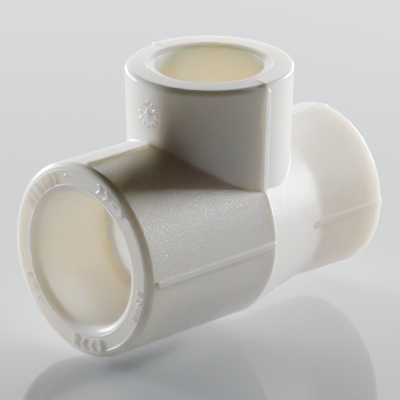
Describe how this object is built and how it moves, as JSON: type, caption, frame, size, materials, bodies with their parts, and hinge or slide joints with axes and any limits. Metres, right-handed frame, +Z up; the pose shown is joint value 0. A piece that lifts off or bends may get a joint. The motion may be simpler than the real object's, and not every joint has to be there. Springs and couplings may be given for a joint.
{
  "type": "pipe tee fitting",
  "caption": "Moulded plastic reducing tee: one larger socket, a smaller socket in line with it, and a smaller upright branch socket, around one waterway.",
  "frame": {"origin": "on the surface that the fitting stands on, in the middle of its footprint, under the line of the run", "axes": "+X along the run towards the reduced socket, +Z up the branch, +Y across, so the larger socket opens towards -X"},
  "size_m": [0.0584, 0.0356, 0.0469],
  "materials": {
    "polypropylene": "warm white, slightly translucent, fine eroded grain outside and smooth in the bores"
  },
  "bodies": {
    "root": {"tee_body": "polypropylene"}
  },
  "joints": []
}
